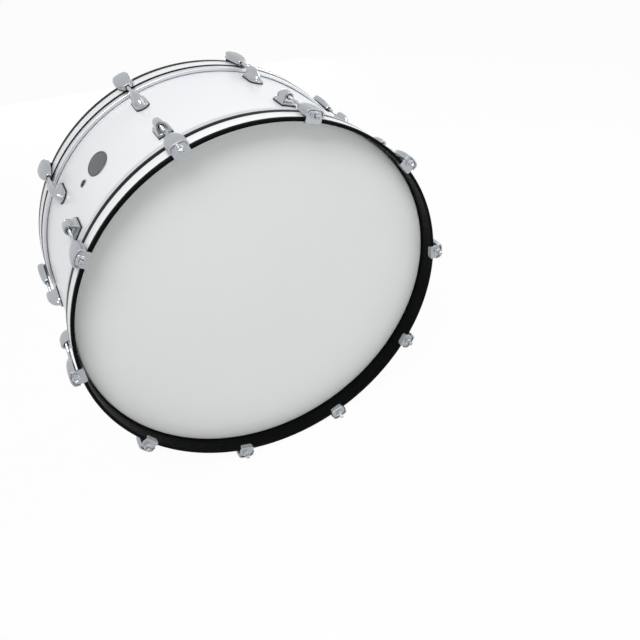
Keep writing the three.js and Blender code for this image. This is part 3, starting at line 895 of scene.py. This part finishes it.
def seen_as_background(tree):
    """1 for the rays that see the studio: straight from the camera, or by way of metal or gloss."""
    path = add_node(tree, "LightPath")
    straight = add_node(tree, "Math", {0: path.outputs["Is Camera Ray"], 1: path.outputs["Is Glossy Ray"]},
                        operation="MAXIMUM")
    return add_node(tree, "Math", {0: straight.outputs["Value"], 1: path.outputs["Is Transmission Ray"]},
                    operation="MAXIMUM").outputs["Value"]


def build_floor():
    """A matte white floor. What is seen of it is mostly plain white, so only a soft shadow stays."""
    material, tree = new_material("matte_white_floor")
    dust = add_node(tree, "TexNoise", {"Scale": mottle(25), "Detail": 2})
    bump = add_node(tree, "Bump", {"Height": dust.outputs["Fac"], "Strength": 0.02})
    matte = add_node(tree, "BsdfDiffuse", {"Color": linear("#f4f4f4"), "Normal": bump.outputs["Normal"]})
    white = add_node(tree, "Emission", {"Color": (1, 1, 1, 1), "Strength": 1})
    plain_share = 0.95
    share = add_node(tree, "Math", {0: seen_as_background(tree), 1: plain_share}, operation="MULTIPLY")
    mixed = add_node(tree, "MixShader", {0: share.outputs["Value"], 1: matte.outputs["BSDF"],
                                         2: white.outputs["Emission"]})
    add_node(tree, "OutputMaterial", {"Surface": mixed.outputs["Shader"]})
    reach = 6000
    points = [(-reach, -reach, 0), (reach, -reach, 0), (reach, reach, 0), (-reach, reach, 0)]
    mesh = mesh_from("studio_floor", [(points, [[0, 1, 2, 3]])])
    mesh.materials.append(material)
    floor = bpy.data.objects.new("studio_floor", mesh)
    bpy.context.scene.collection.objects.link(floor)


def build_world():
    """A soft grey room, seen as white."""
    world = bpy.data.worlds.new("studio_room")
    world.use_nodes = True
    tree = world.node_tree
    tree.nodes.clear()
    room = add_node(tree, "Background", {"Color": linear("#f2f3f5"), "Strength": 0.4})
    white = add_node(tree, "Background", {"Color": (1, 1, 1, 1), "Strength": 1})
    mixed = add_node(tree, "MixShader", {0: seen_as_background(tree), 1: room.outputs["Background"],
                                         2: white.outputs["Background"]})
    add_node(tree, "OutputWorld", {"Surface": mixed.outputs["Shader"]})
    bpy.context.scene.world = world


def add_softbox(name, at, size, watts, target=(0, 0, 0.34)):
    """A rectangular lamp aimed at a point, by default the drum's middle. Places and sizes are in metres."""
    lamp = bpy.data.lights.new(name, "AREA")
    lamp.shape = "RECTANGLE"
    lamp.size, lamp.size_y = size
    lamp.energy = watts
    box = bpy.data.objects.new(name, lamp)
    box.location = at
    box.rotation_euler = (Vector(target) - Vector(at)).to_track_quat("-Z", "Y").to_euler()
    bpy.context.scene.collection.objects.link(box)


def build_camera():
    """The photograph's viewpoint, from a fit of the hoops, heads and lugs in its 640 x 640 frame."""
    place = Vector((-0.28998, -1.05816, AXIS_HEIGHT + 0.694987))
    right = Vector((0.87838, -0.47556, -0.04788))
    down = Vector((-0.32488, -0.52058, -0.78959))
    forward = Vector((0.35057, 0.70912, -0.61176))
    frame_pixels = 640
    focal_pixels = 651.26
    # The photograph is cropped, so the lens's axis meets it off its middle
    axis_pixel = (349.5, 309.9)
    sensor_width = 36
    lens = bpy.data.cameras.new("photo_camera")
    lens.sensor_width = sensor_width
    lens.lens = focal_pixels * sensor_width / frame_pixels
    lens.shift_x = (frame_pixels / 2 - axis_pixel[0]) / frame_pixels
    lens.shift_y = (axis_pixel[1] - frame_pixels / 2) / frame_pixels
    lens.clip_start = 0.05
    camera = bpy.data.objects.new("photo_camera", lens)
    turn = Matrix((right, -down, -forward)).transposed()
    camera.matrix_world = Matrix.Translation(place) @ turn.to_4x4()
    bpy.context.scene.collection.objects.link(camera)
    bpy.context.scene.camera = camera


build_floor()
build_world()
# The key lights from above and in front, the side lamp fills the shell, the back lamp brightens the far
# edges from low down, and the front lamp fills the faces of the claws and hoops
add_softbox("key_softbox", (-0.6, -1.15, 2.4), (1.1, 0.9), 33)
add_softbox("side_softbox", (1.8, 0.3, 1.6), (1.6, 1.6), 12)
add_softbox("back_softbox", (0.3, 2.3, 0.25), (1.6, 0.4), 13, (0, 0.15, 0.3))
add_softbox("front_softbox", (1.2, -2.0, 0.3), (1.4, 1.2), 6, (0.1, 0, 0.2))
build_camera()
bpy.context.scene.view_settings.view_transform = "Standard"
